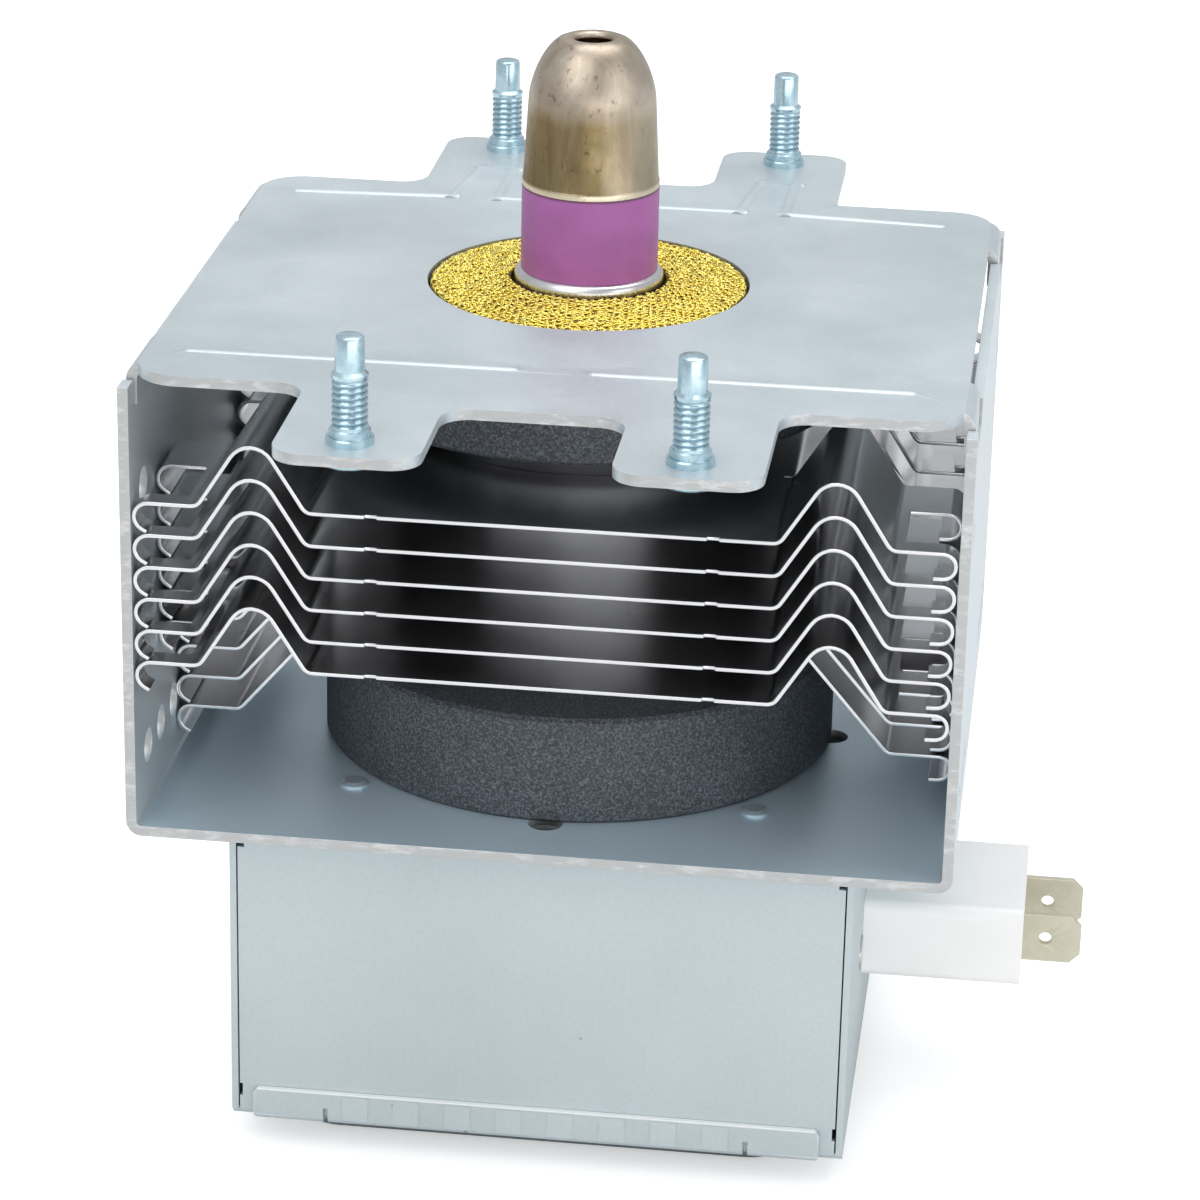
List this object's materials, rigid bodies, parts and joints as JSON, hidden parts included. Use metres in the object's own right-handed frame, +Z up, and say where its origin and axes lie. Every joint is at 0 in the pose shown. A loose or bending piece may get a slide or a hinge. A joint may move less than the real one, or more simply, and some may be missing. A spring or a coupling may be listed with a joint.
{
  "type": "magnetron",
  "caption": "Microwave-oven magnetron: steel yoke with folded cooling fins and ring magnets, capped antenna in a mesh gasket on top, threaded studs, filter box with side connector below.",
  "frame": {"origin": "on the antenna's axis, on the outer face of the filter lid's pan, which the part stands on", "axes": "+Z up along the antenna; +X to the side with the connector; -Y is the front, with the straight beads on the top plate"},
  "size_m": [0.0973, 0.1106, 0.1129],
  "materials": {
    "zinc_steel": "satin zinc plate",
    "blue_zinc": "glossy blue zinc plate",
    "brass_mesh": "knitted wire mesh",
    "ferrite": "matte speckled",
    "aluminium_sheet": "rolled sheet",
    "copper": "bare copper",
    "iron": "plain",
    "seal_metal": "plain bright",
    "purple_ceramic": "fine matte",
    "cap_metal": "tarnished satin",
    "tungsten": "matte",
    "white_ceramic": "matte",
    "enamelled_copper": "glossy enamel",
    "white_plastic": "satin",
    "tinned_brass": "dull tin"
  },
  "bodies": {
    "root": {"yoke_frame": "zinc_steel", "top_plate": "zinc_steel", "mounting_studs": "blue_zinc", "rf_gasket": "brass_mesh", "upper_magnet": "ferrite", "lower_magnet": "ferrite", "cooling_fin_1": "aluminium_sheet", "cooling_fin_2": "aluminium_sheet", "cooling_fin_3": "aluminium_sheet", "cooling_fin_4": "aluminium_sheet", "cooling_fin_5": "aluminium_sheet", "cooling_fin_6": "aluminium_sheet", "anode_cylinder": "copper", "anode_vanes": "copper", "strap_rings": "copper", "upper_pole_piece": "iron", "lower_pole_piece": "iron", "upper_seal_cup": "seal_metal", "lower_seal_cup": "seal_metal", "antenna_ceramic": "purple_ceramic", "antenna_cap": "cap_metal", "exhaust_tube": "copper", "antenna_lead": "copper", "cathode_filament": "tungsten", "upper_end_hat": "tungsten", "lower_end_hat": "tungsten", "centre_lead": "tungsten", "side_lead": "tungsten", "stem_ceramic": "white_ceramic", "filter_box": "zinc_steel", "filter_lid": "zinc_steel", "box_rivets": "zinc_steel", "choke_windings": "enamelled_copper", "choke_cores": "ferrite", "capacitor_plate": "seal_metal", "plate_eyelets": "seal_metal", "connector_housing": "white_plastic", "terminal_tabs": "tinned_brass"}
  },
  "joints": []
}
